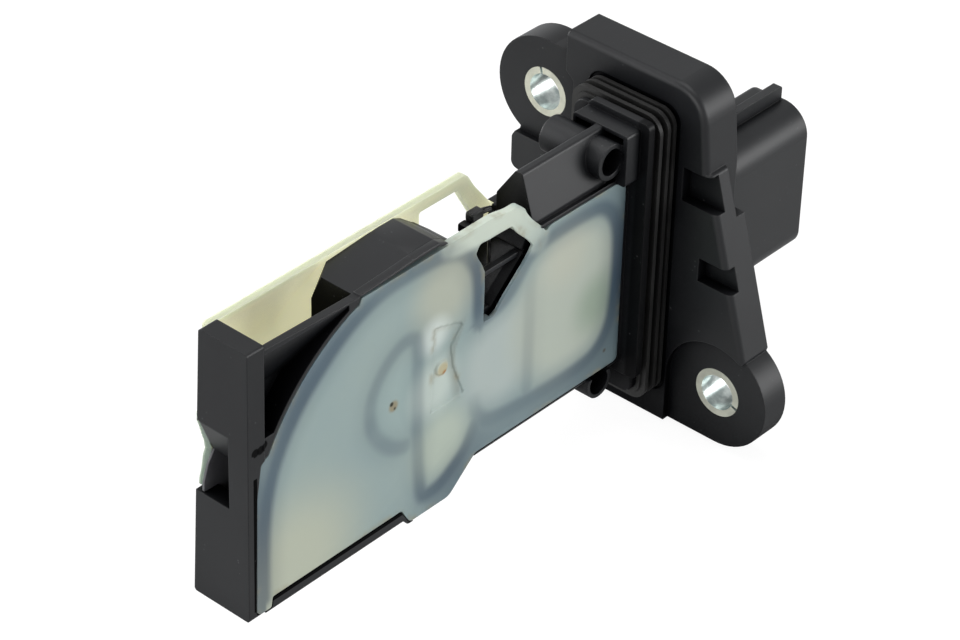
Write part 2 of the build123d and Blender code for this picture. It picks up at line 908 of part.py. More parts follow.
def make_capacitor(index):
    """Small ceramic capacitor on the board, above the controller."""
    left = package_left + package_length + 1.0 + index * (capacitor_length + 0.8)
    low = terminal_middle + controller_size / 2 + 1.2
    return block(left, left + capacitor_length, board_near - capacitor_height, board_near,
                 low, low + capacitor_width)


lead_start = bead_place + bead_length / 2
near_lead = [
    (lead_start - 0.3, -lead_spread, bead_height),
    (lead_start + 1.2, -lead_spread, bead_height - 0.2),
    (lead_start + 1.2, -lead_spread, window_bottom + 2.9),
]
far_lead = [
    (lead_start - 0.3, lead_spread, bead_height),
    (lead_start + 1.9, lead_spread, bead_height - 0.6),
    (lead_start + 2.3, lead_spread, guard_top + 2.6),
]

pieces = {
    "housing": make_housing(),
    "near_cover": make_near_cover(),
    "far_cover": make_far_cover(),
    "seal_ring": make_seal(),
    "upper_bush": make_bush(hole_y, hole_z, upper_slit_turn),
    "lower_bush": make_bush(-hole_y, -hole_z, lower_slit_turn),
    "air_thermistor": make_bead(),
    "thermistor_lead_near": make_lead(near_lead),
    "thermistor_lead_far": make_lead(far_lead),
    "circuit_board": make_board(),
    "sensor_package": make_package(),
    "flow_chip": make_chip(),
    "controller": make_controller(),
}
for number in range(3):
    pieces["capacitor_" + str(number + 1)] = make_capacitor(number)
for number in range(terminal_count):
    pieces["terminal_" + str(number + 1)] = make_terminal(number)

os.makedirs("parts", exist_ok=True)
for name, solid in pieces.items():
    export_step(solid, os.path.join("parts", name + ".step"))
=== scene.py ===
# %% [markdown]
# # Mass airflow sensor: the looks
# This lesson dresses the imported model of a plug-in airflow sensor. The black housing, the seal
# and the metal parts keep their exact shapes and only get finishes. The two side covers are
# thin plates of natural plastic in which the walls behind them show as soft blue-grey bands,
# so they are made again here as fine meshes that can carry that pattern on their points.
# Everything is in metres, and a millimetre is 0.001.

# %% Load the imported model
import math

import bpy
import numpy as np
from mathutils import Matrix, Vector
from mathutils.kdtree import KDTree


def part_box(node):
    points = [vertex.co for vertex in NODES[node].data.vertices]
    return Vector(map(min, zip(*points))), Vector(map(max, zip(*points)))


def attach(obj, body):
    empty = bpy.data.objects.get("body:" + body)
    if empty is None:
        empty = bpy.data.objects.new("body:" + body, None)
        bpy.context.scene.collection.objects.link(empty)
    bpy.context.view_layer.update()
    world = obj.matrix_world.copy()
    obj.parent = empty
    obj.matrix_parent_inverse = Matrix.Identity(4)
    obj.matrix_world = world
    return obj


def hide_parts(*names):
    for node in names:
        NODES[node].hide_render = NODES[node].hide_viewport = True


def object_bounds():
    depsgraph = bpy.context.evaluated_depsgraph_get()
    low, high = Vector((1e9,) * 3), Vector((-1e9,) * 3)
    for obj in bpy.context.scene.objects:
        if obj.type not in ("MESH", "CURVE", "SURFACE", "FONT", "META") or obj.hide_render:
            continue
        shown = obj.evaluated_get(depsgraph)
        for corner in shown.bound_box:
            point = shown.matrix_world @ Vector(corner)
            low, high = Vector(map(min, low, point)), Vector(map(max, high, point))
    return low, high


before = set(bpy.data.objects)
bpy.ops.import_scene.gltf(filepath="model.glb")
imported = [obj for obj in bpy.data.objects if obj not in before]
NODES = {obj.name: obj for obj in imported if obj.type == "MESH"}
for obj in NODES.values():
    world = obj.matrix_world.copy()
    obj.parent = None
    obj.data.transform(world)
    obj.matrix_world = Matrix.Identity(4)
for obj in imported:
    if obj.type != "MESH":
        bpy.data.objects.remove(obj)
MM = 0.001
cad_low, cad_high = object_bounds()
print("nodes:", len(NODES), "box:", [round(v / MM, 1) for v in (*cad_low, *cad_high)])

# %% [markdown]
# ## Camera
# A photograph's viewing angle is a place, a direction and a lens. Three arrows are enough to
# turn the camera: where its right side points, where its top points, and where its back points.
# A long lens keeps the blade's edges almost parallel, as in the photograph.

# %% Camera
CAMERA_PLACE = Vector((-0.27005, -0.2125, 0.23248))
CAMERA_RIGHT = Vector((0.666155, -0.745421, 0.0242))
CAMERA_UP = Vector((0.418346, 0.400329, 0.815306))
CAMERA_BACK = Vector((-0.617434, -0.532996, 0.578524))

camera_data = bpy.data.cameras.new("product_camera")
camera_data.sensor_width = 36.0
camera_data.lens = 131.416
camera_data.shift_x = -0.012745
camera_data.shift_y = -0.002615
camera_data.clip_start = 0.01
camera = bpy.data.objects.new("product_camera", camera_data)
bpy.context.scene.collection.objects.link(camera)
turn = Matrix((CAMERA_RIGHT, CAMERA_UP, CAMERA_BACK)).transposed().to_4x4()
camera.matrix_world = Matrix.Translation(CAMERA_PLACE) @ turn
bpy.context.scene.camera = camera
print("camera distance:", round(CAMERA_PLACE.length, 3), "m, lens:", camera_data.lens)

# %% [markdown]
# ## Light, floor and backdrop
# Product pictures of black plastic are taken in a bright tent: large soft lamps from above,
# right, left and behind, and a white surround that black plastic mirrors as a thin grey sheen.
# The world is the tent. What the camera sees directly of it is pure white, and what lights the
# object is weaker, so that the pale covers don't burn out. A Light Path node tells such rays
# apart.


# %% Value helpers
def sum_of(tree, first, second):
    """Sum of two value sockets."""
    node = tree.nodes.new("ShaderNodeMath")
    node.operation = "ADD"
    tree.links.new(first, node.inputs[0])
    tree.links.new(second, node.inputs[1])
    return node.outputs["Value"]


def product_of(tree, first, *others):
    """Product of value sockets."""
    for other in others:
        node = tree.nodes.new("ShaderNodeMath")
        node.operation = "MULTIPLY"
        tree.links.new(first, node.inputs[0])
        tree.links.new(other, node.inputs[1])
        first = node.outputs["Value"]
    return first


def level_by(tree, value, at_zero, at_one, low=0.0, high=1.0):
    """Straight, clamped change from one level to another while a value goes from low to high."""
    node = tree.nodes.new("ShaderNodeMapRange")
    node.inputs["From Min"].default_value = low
    node.inputs["From Max"].default_value = high
    node.inputs["To Min"].default_value = at_zero
    node.inputs["To Max"].default_value = at_one
    tree.links.new(value, node.inputs["Value"])
    return node.outputs["Result"]


def axes_of(tree, vector):
    """Outputs X, Y and Z of a vector."""
    node = tree.nodes.new("ShaderNodeSeparateXYZ")
    tree.links.new(vector, node.inputs["Vector"])
    return node.outputs


# %% World and lamps
bpy.context.scene.view_settings.view_transform = "Standard"
WHITE = (1.0, 1.0, 1.0, 1.0)
TENT_SEEN = 1.0
TENT_LEVEL = 0.42
HORIZON_SHEEN = 1.0
TOP_SHEEN = 0.42
HORIZON_END, TOP_START = 0.15, 0.6

world = bpy.data.worlds.new("tent")
bpy.context.scene.world = world
world.use_nodes = True
tent = world.node_tree
seen = tent.nodes.new("ShaderNodeLightPath")
direction = tent.nodes.new("ShaderNodeTexCoord").outputs["Generated"]
sheen = level_by(
    tent, axes_of(tent, direction)["Z"], HORIZON_SHEEN - TENT_LEVEL, TOP_SHEEN - TENT_LEVEL,
    HORIZON_END, TOP_START)
sheen = product_of(tent, sheen, seen.outputs["Is Glossy Ray"])
level = level_by(tent, seen.outputs["Is Camera Ray"], TENT_LEVEL, TENT_SEEN)
level = sum_of(tent, level, sheen)
tent.links.new(level, tent.nodes["Background"].inputs["Strength"])
tent.nodes["Background"].inputs["Color"].default_value = WHITE


def add_lamp(name, place, target, size, power):
    """Square soft lamp that faces a target."""
    data = bpy.data.lights.new(name, "AREA")
    data.shape = "SQUARE"
    data.size = size
    data.energy = power
    lamp = bpy.data.objects.new(name, data)
    bpy.context.scene.collection.objects.link(lamp)
    lamp.location = place
    aim = Vector(target) - Vector(place)
    lamp.rotation_euler = aim.to_track_quat("-Z", "Y").to_euler()
    return lamp


MIDDLE = (-0.02, 0.0, 0.0)
add_lamp("top_softbox", (0.0, 0.05, 0.6), MIDDLE, 0.5, 1.5)
add_lamp("right_softbox", (0.3, -0.5, 0.1), MIDDLE, 0.4, 2.2)
add_lamp("left_softbox", (-0.5, -0.05, 0.12), MIDDLE, 0.35, 0.8)
add_lamp("back_softbox", (-0.16, 0.5, 0.14), MIDDLE, 0.4, 2.6)

# %% Floor
FLOOR_GAP = 0.6 * MM
FLOOR_SIZE = 3.0
FLOOR_GREY = (0.62, 0.62, 0.62, 1.0)
GLOW_MIRRORED, GLOW_SEEN = 0.5, 1.22
SHARE_SEEN, SHARE_MIRRORED = 0.75, 0.6

floor_height = cad_low.z - FLOOR_GAP
bpy.ops.object.select_all(action="DESELECT")
bpy.ops.mesh.primitive_plane_add(size=FLOOR_SIZE, location=(0.0, 0.0, floor_height))
floor = bpy.context.object
floor.name = "pale_floor"
bpy.ops.object.transform_apply(location=True)
floor_material = bpy.data.materials.new("pale_floor")
floor_material.use_nodes = True
tree = floor_material.node_tree
shader = tree.nodes["Principled BSDF"]
shader.inputs["Base Color"].default_value = FLOOR_GREY
shader.inputs["Roughness"].default_value = 0.8
ray = tree.nodes.new("ShaderNodeLightPath").outputs
glow = tree.nodes.new("ShaderNodeEmission")
glow_level = level_by(tree, ray["Is Camera Ray"], GLOW_MIRRORED, GLOW_SEEN)
tree.links.new(glow_level, glow.inputs["Strength"])
share = sum_of(
    tree, level_by(tree, ray["Is Camera Ray"], 0.0, SHARE_SEEN),
    level_by(tree, ray["Is Glossy Ray"], 0.0, SHARE_MIRRORED))
mix = tree.nodes.new("ShaderNodeMixShader")
tree.links.new(share, mix.inputs["Fac"])
tree.links.new(shader.outputs["BSDF"], mix.inputs[1])
tree.links.new(glow.outputs["Emission"], mix.inputs[2])
tree.links.new(mix.outputs["Shader"], tree.nodes["Material Output"].inputs["Surface"])
floor.data.materials.append(floor_material)
print("floor at", round(floor_height / MM, 2), "mm")

# %% [markdown]
# ## Shared effects
# The finishes draw on four effects: the fine grain of a spark-eroded mould, soft cloudy tone
# changes, sparse specks of dust, and round marks seen from the side of the blade. Each is a
# node group with named sockets. It takes Object coordinates, so a pattern keeps its real size,
# and gives out only values.


# %% Node group helpers
def new_group(name, inputs, outputs):
    """Shader node group with value sockets; a default of None makes a vector input."""
    group = bpy.data.node_groups.new(name, "ShaderNodeTree")
    for label, default in inputs:
        kind = "NodeSocketVector" if default is None else "NodeSocketFloat"
        socket = group.interface.new_socket(label, in_out="INPUT", socket_type=kind)
        if default is not None:
            socket.default_value = default
    for label in outputs:
        group.interface.new_socket(label, in_out="OUTPUT", socket_type="NodeSocketFloat")
    start = group.nodes.new("NodeGroupInput")
    end = group.nodes.new("NodeGroupOutput")
    return group, start, end


def noise_in(group, vector, scale, detail, rough=0.5):
    """Noise texture inside a group; its scale is a number or a socket."""
    node = group.nodes.new("ShaderNodeTexNoise")
    node.inputs["Detail"].default_value = detail
    node.inputs["Roughness"].default_value = rough
    group.links.new(vector, node.inputs["Vector"])
    if isinstance(scale, (int, float)):
        node.inputs["Scale"].default_value = scale
    else:
        group.links.new(scale, node.inputs["Scale"])
    return node.outputs["Fac"]


def range_in(group, value, low, high, to_low=0.0, to_high=1.0):
    """Smooth map range inside a group or material tree."""
    node = group.nodes.new("ShaderNodeMapRange")
    node.interpolation_type = "SMOOTHSTEP"
    node.inputs["From Min"].default_value = low
    node.inputs["From Max"].default_value = high
    node.inputs["To Min"].default_value = to_low
    node.inputs["To Max"].default_value = to_high
    group.links.new(value, node.inputs["Value"])
    return node.outputs["Result"]


def lowered(tree, mask, least=0.0):
    """1 where a mask is 0, down to the least where it is 1."""
    return range_in(tree, mask, 0.0, 1.0, 1.0, least)


# %% Grain, clouds, dust and marks
grain_group, grain_in, grain_out = new_group(
    "mould_grain", [("Place", None), ("Scale", 9000.0)], ["Height"])
fine = noise_in(grain_group, grain_in.outputs["Place"], grain_in.outputs["Scale"], 2.0, 0.6)
grain_group.links.new(fine, grain_out.inputs["Height"])

cloud_group, cloud_in, cloud_out = new_group(
    "soft_clouds", [("Place", None), ("Scale", 90.0)], ["Mask"])
cloudy = noise_in(cloud_group, cloud_in.outputs["Place"], cloud_in.outputs["Scale"], 4.0, 0.55)
cloud_group.links.new(range_in(cloud_group, cloudy, 0.35, 0.68), cloud_out.inputs["Mask"])

dust_group, dust_in, dust_out = new_group(
    "dust_specks", [("Place", None), ("Scale", 1500.0), ("Amount", 0.5)], ["Mask"])
cells = dust_group.nodes.new("ShaderNodeTexVoronoi")
dust_group.links.new(dust_in.outputs["Place"], cells.inputs["Vector"])
dust_group.links.new(dust_in.outputs["Scale"], cells.inputs["Scale"])
speck = range_in(dust_group, cells.outputs["Distance"], 0.05, 0.2, 1.0, 0.0)
patches = noise_in(dust_group, dust_in.outputs["Place"], 320.0, 3.0)
speck = product_of(
    dust_group, speck, range_in(dust_group, patches, 0.57, 0.68), dust_in.outputs["Amount"])
dust_group.links.new(speck, dust_out.inputs["Mask"])

mark_group, mark_in, mark_out = new_group(
    "round_mark", [("Place", None), ("Centre", None), ("Inner", 0.3), ("Outer", 0.5)], ["Mask"])
flatten = mark_group.nodes.new("ShaderNodeVectorMath")
flatten.operation = "MULTIPLY"
flatten.inputs[1].default_value = (1.0 / MM, 0.0, 1.0 / MM)
reach = mark_group.nodes.new("ShaderNodeVectorMath")
reach.operation = "DISTANCE"
falloff = mark_group.nodes.new("ShaderNodeMapRange")
falloff.interpolation_type = "SMOOTHSTEP"
falloff.inputs["To Min"].default_value = 1.0
falloff.inputs["To Max"].default_value = 0.0
mark_group.links.new(mark_in.outputs["Place"], flatten.inputs[0])
mark_group.links.new(flatten.outputs["Vector"], reach.inputs[0])
mark_group.links.new(mark_in.outputs["Centre"], reach.inputs[1])
mark_group.links.new(reach.outputs["Value"], falloff.inputs["Value"])
mark_group.links.new(mark_in.outputs["Inner"], falloff.inputs["From Min"])
mark_group.links.new(mark_in.outputs["Outer"], falloff.inputs["From Max"])
mark_group.links.new(falloff.outputs["Result"], mark_out.inputs["Mask"])
print("groups:", [g.name for g in bpy.data.node_groups])


# %% Material helpers
def new_material(name):
    """Empty Principled material with its Object coordinates at hand."""
    material = bpy.data.materials.new(name)
    material.use_nodes = True
    place = material.node_tree.nodes.new("ShaderNodeTexCoord").outputs["Object"]
    return material, material.node_tree, material.node_tree.nodes["Principled BSDF"], place


def add_group(tree, group, place, **values):
    """Group node placed in a material with its own values."""
    node = tree.nodes.new("ShaderNodeGroup")
    node.node_tree = group
    tree.links.new(place, node.inputs["Place"])
    for label, value in values.items():
        node.inputs[label].default_value = value
    return node.outputs[0]


def round_mark(tree, place, centre, inner, outer):
    """Mask of a round mark; its centre (along, across) and radii are in millimetres."""
    centre = (centre[0], 0.0, centre[1])
    return add_group(tree, mark_group, place, Centre=centre, Inner=inner, Outer=outer)


def mix_colours(tree, share, first, second):
    """Mix of two colours, each a tuple or a socket."""
    node = tree.nodes.new("ShaderNodeMix")
    node.data_type = "RGBA"
    tree.links.new(share, node.inputs["Factor"])
    for socket, colour in ((node.inputs[6], first), (node.inputs[7], second)):
        if isinstance(colour, tuple):
            socket.default_value = (*colour, 1.0)
        else:
            tree.links.new(colour, socket)
    return node.outputs[2]


def add_bump(tree, shader, height, distance, strength=1.0, normal=None):
    """Bump node that feeds the shader's normal."""
    bump = tree.nodes.new("ShaderNodeBump")
    bump.inputs["Strength"].default_value = strength
    bump.inputs["Distance"].default_value = distance
    tree.links.new(height, bump.inputs["Height"])
    if normal is not None:
        tree.links.new(normal, bump.inputs["Normal"])
    tree.links.new(bump.outputs["Normal"], shader.inputs["Normal"])


def soft_edges(tree, radius):
    """Normal that rounds sharp edges for the light, as a mould's tiny radii do."""
    bevel = tree.nodes.new("ShaderNodeBevel")
    bevel.samples = 6
    bevel.inputs["Radius"].default_value = radius
    return bevel.outputs["Normal"]


def openness(tree, distance):
    """Share of open sky over a place: 1 on a free face, towards 0 deep in a pocket."""
    node = tree.nodes.new("ShaderNodeAmbientOcclusion")
    node.samples = 8
    node.inputs["Distance"].default_value = distance
    return node.outputs["AO"]


def dress(node_name, material):
    """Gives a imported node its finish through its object's material slots."""
    for slot in NODES[node_name].material_slots:
        slot.material = material


# %% [markdown]
# ## Black moulded plastic
# The housing is glass-filled plastic: a very dark grey with a satin skin. Its grey comes mostly
# from the bright tent that its skin mirrors, so the base colour is darker than it looks in
# the picture. The skin is the shader's coat, and its mirror image is tinted blue as painted
# light, a cool cast. Painted shade darkens the base colour and fades the skin out in pockets,
# where the tent isn't mirrored, in the narrow gap round the near cover, on three small recesses
# beside the notch and on the collar's side. It also dulls the skin at the tip and on the
# flange's rim. A fine grain breaks the mirror image, clouds vary the sheen, and pale dust sits
# on it here and there. A Bevel node rounds the edges for the light.

# %% Housing plastic
# Painted light: the blue tint on the skin's mirror image stands in for a cool cast of light; the
# tent and lamps are white.
BLUE_LIGHT_TINT = (0.92, 0.97, 1.0, 1.0)
PAINTED_SHADE_BLACK = (0.0008, 0.0008, 0.001)
NEAR_SKIN = (-3.95, -3.85)
# Painted shade: dark strips in the narrow gap round the near cover, and three dark marks on small
# recesses beside the notch.
GAP_SHADE_STRIPS = [((-66.35, -65.9), (-13.6, 4.6)), ((-64.5, -42.8), (-13.6, -12.6))]
RECESS_SHADE_MARKS = [(-64.6, 8.2), (-65.3, 8.1), (-66.1, 8.1)]
COLLAR_SIDE = (-5.3, -4.6)
COLLAR_ALONG = (-5.5, -3.4)
# Painted shade: the skin is duller towards the tip and on the flange's rim.
TIP_DIMMING = (-66.0, -35.0)
FLANGE_RIM = (1.0, 9.0)


def step_in(tree, value, ends, at_low=0.0, at_high=1.0):
    """Smooth step between two places in millimetres."""
    return range_in(tree, value, ends[0] * MM, ends[1] * MM, at_low, at_high)


def between(tree, value, ends, soft):
    """1 between two places in millimetres and 0 outside, with soft steps."""
    low, high = ends
    rise = step_in(tree, value, (low - soft, low))
    fall = step_in(tree, value, (high, high + soft), 1.0, 0.0)
    return product_of(tree, rise, fall)


def gap_shade_mask(tree, place):
    """Painted shade: low in the gap and the recesses beside the near cover, 1 elsewhere."""
    spot = axes_of(tree, place)
    near_skin = step_in(tree, spot["Y"], NEAR_SKIN, 1.0, 0.0)
    shares = []
    for along, across in GAP_SHADE_STRIPS:
        strip = product_of(
            tree, between(tree, spot["X"], along, 0.1), between(tree, spot["Z"], across, 0.1),
            near_skin)
        shares.append(lowered(tree, strip))
    for centre in RECESS_SHADE_MARKS:
        mark = product_of(tree, round_mark(tree, place, centre, 0.4, 0.7), near_skin)
        shares.append(lowered(tree, mark, 0.1))
    return product_of(tree, *shares)


def collar_shade_mask(tree, place):
    """Painted shade: low on the collar's near side, which no lamp reaches, and 1 elsewhere."""
    spot = axes_of(tree, place)
    side = product_of(
        tree, step_in(tree, spot["Y"], COLLAR_SIDE, 1.0, 0.0),
        between(tree, spot["X"], COLLAR_ALONG, 0.3))
    return lowered(tree, side, 0.4)


def sheen_dimmed_along(tree, place):
    """Share of sheen along the part: painted shade makes it duller at the tip and on the flange's
    rim.
    """
    along = axes_of(tree, place)["X"]
    tip = step_in(tree, along, TIP_DIMMING, 0.8, 1.0)
    return product_of(tree, tip, lowered(tree, between(tree, along, FLANGE_RIM, 2.0), 0.86))


housing_plastic, tree, shader, place = new_material("housing_plastic")
clouds = add_group(tree, cloud_group, place, Scale=70.0)
dust = add_group(tree, dust_group, place, Scale=1300.0, Amount=0.35)
open_sky = openness(tree, 16.0 * MM)
base = mix_colours(tree, clouds, (0.0062, 0.0065, 0.0078), (0.0105, 0.0109, 0.0122))
# Painted shade: deep in a pocket the base colour goes to deep black.
base = mix_colours(tree, range_in(tree, open_sky, 0.1, 0.8), PAINTED_SHADE_BLACK, base)
# Painted shade: the gap, the recesses and the collar's side turn deep black and lose their skin.
shown = product_of(tree, gap_shade_mask(tree, place), collar_shade_mask(tree, place))
base = mix_colours(tree, shown, PAINTED_SHADE_BLACK, base)
tree.links.new(mix_colours(tree, dust, base, (0.16, 0.16, 0.16)), shader.inputs["Base Color"])
tree.links.new(range_in(tree, clouds, 0.0, 1.0, 0.36, 0.5), shader.inputs["Roughness"])
shader.inputs["Specular IOR Level"].default_value = 0.02
shader.inputs["Specular Tint"].default_value = BLUE_LIGHT_TINT
shader.inputs["Coat Tint"].default_value = BLUE_LIGHT_TINT
shader.inputs["Coat Roughness"].default_value = 0.42
# Painted shade: the skin fades out in pockets, where the openness is low.
skin = range_in(tree, open_sky, 0.35, 0.92, 0.0, 0.96)
# Painted shade: the skin is dulled in the gap, the recesses, on the collar's side, at the tip and
# on the flange's rim.
skin = product_of(tree, skin, shown, sheen_dimmed_along(tree, place))
tree.links.new(skin, shader.inputs["Coat Weight"])
rounded = soft_edges(tree, 0.2 * MM)
tree.links.new(rounded, shader.inputs["Coat Normal"])
grain = add_group(tree, grain_group, place, Scale=6500.0)
add_bump(tree, shader, grain, 0.00002, 0.8, rounded)
dress("housing", housing_plastic)
print("housing finish:", housing_plastic.name)

# %% [markdown]
# ## Seal rubber
# The ring is softer and duller than the housing: hardly any mirror image, and a faint bloom.

# %% Seal rubber
seal_rubber, tree, shader, place = new_material("seal_rubber")
clouds = add_group(tree, cloud_group, place, Scale=160.0)
base = mix_colours(tree, clouds, (0.006, 0.006, 0.006), (0.012, 0.012, 0.0115))
tree.links.new(base, shader.inputs["Base Color"])
tree.links.new(range_in(tree, clouds, 0.0, 1.0, 0.58, 0.72), shader.inputs["Roughness"])
open_sky = openness(tree, 2.0 * MM)
shader.inputs["Specular IOR Level"].default_value = 0.14
shader.inputs["Coat Roughness"].default_value = 0.5
# Painted shade: the skin fades out in hollows, where the openness is low.
tree.links.new(range_in(tree, open_sky, 0.3, 0.8, 0.0, 0.85), shader.inputs["Coat Weight"])
grain = add_group(tree, grain_group, place, Scale=5000.0)
add_bump(tree, shader, grain, 0.00002, 0.4)
dress("seal_ring", seal_rubber)
print("seal finish:", seal_rubber.name)

# %% [markdown]
# ## Metal
# The screw bushes are rolled from zinc-plated sheet. Their cut faces are dull and creamy and
# their bores are bright, and the normal tells the two apart: a cut face looks along X. The
# thermistor's leads and the terminals are plainer, with one noise for tone and roughness.


# %% Metal finishes
def metal_finish(name, dark, light, rough_low, rough_high, scale):
    """Metal with clouds in tone and roughness and fine scratches in its bump."""
    material, tree, shader, place = new_material(name)
    clouds = add_group(tree, cloud_group, place, Scale=scale)
    tree.links.new(mix_colours(tree, clouds, dark, light), shader.inputs["Base Color"])
    rough = range_in(tree, clouds, 0.0, 1.0, rough_low, rough_high)
    tree.links.new(rough, shader.inputs["Roughness"])
    shader.inputs["Metallic"].default_value = 1.0
    grain = add_group(tree, grain_group, place, Scale=scale * 9.0)
    add_bump(tree, shader, grain, 0.00003, 0.35)
    return material


bush_metal, tree, shader, place = new_material("bush_metal")
facing = tree.nodes.new("ShaderNodeTexCoord").outputs["Normal"]
towards_x = tree.nodes.new("ShaderNodeMath")
towards_x.operation = "ABSOLUTE"
tree.links.new(axes_of(tree, facing)["X"], towards_x.inputs[0])
cut_face = range_in(tree, towards_x.outputs["Value"], 0.5, 0.85)
clouds = add_group(tree, cloud_group, place, Scale=520.0)
bore_tone = mix_colours(tree, clouds, (0.42, 0.49, 0.48), (0.9, 0.97, 0.94))
face_tone = mix_colours(tree, clouds, (0.5, 0.51, 0.43), (0.62, 0.63, 0.53))
tree.links.new(mix_colours(tree, cut_face, bore_tone, face_tone), shader.inputs["Base Color"])
tree.links.new(range_in(tree, cut_face, 0.0, 1.0, 0.28, 0.62), shader.inputs["Roughness"])
tree.links.new(range_in(tree, cut_face, 0.0, 1.0, 0.75, 0.1), shader.inputs["Metallic"])
grain = add_group(tree, grain_group, place, Scale=3800.0)
add_bump(tree, shader, grain, 0.00003, 0.35)
for name in ("upper_bush", "lower_bush"):
    dress(name, bush_metal)
lead_metal = metal_finish("lead_metal", (0.03, 0.03, 0.03), (0.08, 0.08, 0.08), 0.3, 0.5, 700.0)
for name in ("thermistor_lead_near", "thermistor_lead_far"):
    dress(name, lead_metal)
terminal_metal = metal_finish(
    "terminal_metal", (0.62, 0.6, 0.53), (0.82, 0.8, 0.74), 0.2, 0.38, 400.0)
for number in range(1, 7):
    dress("terminal_%d" % number, terminal_metal)
print("metal finishes:", bush_metal.name, lead_metal.name, terminal_metal.name)


# %% [markdown]
# ## Small parts
# The bead is dipped in black resin. The board and its parts lie behind the near cover and
# aren't seen in the assembled sensor, and they still get their own finishes.


# %% Small part finishes
def resin_finish(name, dark, light, rough, scale):
    """Moulded or dipped resin with a soft change of tone."""
    material, tree, shader, place = new_material(name)
    clouds = add_group(tree, cloud_group, place, Scale=scale)
    tree.links.new(mix_colours(tree, clouds, dark, light), shader.inputs["Base Color"])
    rough = range_in(tree, clouds, 0.0, 1.0, rough, rough + 0.12)
    tree.links.new(rough, shader.inputs["Roughness"])
    grain = add_group(tree, grain_group, place, Scale=scale * 12.0)
    add_bump(tree, shader, grain, 0.00002, 0.4, soft_edges(tree, 0.15 * MM))
    return material


dress("air_thermistor", resin_finish(
    "bead_resin", (0.008, 0.008, 0.009), (0.02, 0.02, 0.021), 0.25, 400.0))
dress("circuit_board", resin_finish(
    "board_laminate", (0.02, 0.11, 0.04), (0.03, 0.17, 0.07), 0.3, 500.0))
package_resin = resin_finish(
    "package_resin", (0.012, 0.012, 0.013), (0.02, 0.02, 0.02), 0.45, 500.0)
for name in ("sensor_package", "controller"):
    dress(name, package_resin)
dress("flow_chip", resin_finish(
    "chip_silicon", (0.07, 0.08, 0.11), (0.12, 0.13, 0.16), 0.1, 900.0))
capacitor_ceramic = resin_finish(
    "capacitor_ceramic", (0.24, 0.16, 0.1), (0.33, 0.23, 0.15), 0.35, 700.0)
for number in range(1, 4):
    dress("capacitor_%d" % number, capacitor_ceramic)
print("materials:", len(bpy.data.materials))

# %% [markdown]
# ## Covers as fine nets
# A cover is welded to the housing, and where a black wall touches it from behind, the milky
# plastic lets the wall show as a soft band. A texture picture could paint that, but points can
# carry it too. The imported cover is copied, its doubled points are merged, and a row of bisecting
# planes along and across the blade cuts its flat faces into a fine net. The outline stays exact,
# and each point of the net can store how near it lies to a wall's middle line.

# %% Fine copy of a cover
NET_START, NET_STEP = 0.2, 0.33
WELD_GAP = 0.002
FLAT_ANGLE = 0.002
SMOOTH_ANGLE = math.radians(35)


def fine_copy(node_name, name):
    """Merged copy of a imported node, cut into a net along X and Z."""
    low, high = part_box(node_name)
    piece = bpy.data.objects.new(name, NODES[node_name].data.copy())
    bpy.context.scene.collection.objects.link(piece)
    bpy.ops.object.select_all(action="DESELECT")
    bpy.context.view_layer.objects.active = piece
    piece.select_set(True)
    piece.data.materials.clear()
    bpy.ops.object.mode_set(mode="EDIT")
    bpy.ops.mesh.select_all(action="SELECT")
    bpy.ops.mesh.remove_doubles(threshold=WELD_GAP * MM)
    bpy.ops.mesh.normals_make_consistent(inside=False)
    bpy.ops.mesh.dissolve_limited(angle_limit=FLAT_ANGLE)
    for axis in (0, 2):
        normal = [0.0, 0.0, 0.0]
        normal[axis] = 1.0
        for place in np.arange(low[axis] + NET_START * MM, high[axis], NET_STEP * MM):
            spot = [place * share for share in normal]
            bpy.ops.mesh.select_all(action="SELECT")
            bpy.ops.mesh.bisect(plane_co=spot, plane_no=normal)
    bpy.ops.object.mode_set(mode="OBJECT")
    bpy.ops.object.shade_smooth_by_angle(angle=SMOOTH_ANGLE)
    return piece


near_cover = fine_copy("near_cover", "near_cover_plate")
far_cover = fine_copy("far_cover", "far_cover_plate")
for piece in (near_cover, far_cover):
    print(piece.name, "faces:", len(piece.data.polygons))

# %% [markdown]
# ## Fitting the plates' edges
# A fine net can also be pulled a little, as with proportional editing: each pull has a centre,
# a reach and a step, and fades out with distance. So the window's tip, the peak of its loop and
# the upper edges come to where the real plates have them. The far plate's edge in the notch of
# the tip is moved outwards first.

# %% Pulls on the plates
UPPER_EDGE = 20.0
EDGE_BAND = (0.3, 2.2)
END_FADE = 2.5
PULL_CORE = 0.25
NEAR_RISE, NEAR_RAISED = -0.55, (-49.0, -25.5)
FAR_RISE, FAR_RAISED = 0.5, (-66.0, -26.0)
NOTCH_REACH, NOTCH_DEPTH, NOTCH_SPAN = 1.0, 1.7, (-0.2, 9.0)
NEAR_PULLS = [
    ((-25.4, 20.0), 3.6, (0.75, -0.5)), ((-21.2, 14.2), 2.6, (0.6, -0.5)),
    ((-31.0, 16.0), 2.0, (-0.3, 0.2)), ((-22.6, 12.9), 3.6, (0.45, 0.0)),
    ((-30.2, 7.3), 4.0, (-0.1, -1.1)), ((-26.0, 10.0), 4.5, (0.35, -0.35))]
FAR_PULLS = [
    ((-66.5, 7.8), 2.6, (-0.1, 0.9)), ((-65.2, 3.9), 2.6, (-0.1, 0.7)),
    ((-66.0, 2.2), 3.4, (-0.4, 0.0))]


def fade(gap, inner, outer):
    """1 inside, 0 outside and a smooth step between."""
    share = np.clip((outer - gap) / (outer - inner), 0.0, 1.0)
    return share * share * (3.0 - 2.0 * share)


def points_of(piece):
    """Points of a piece as an array in millimetres."""
    flat = np.empty(len(piece.data.vertices) * 3)
    piece.data.vertices.foreach_get("co", flat)
    return flat.reshape(-1, 3) / MM


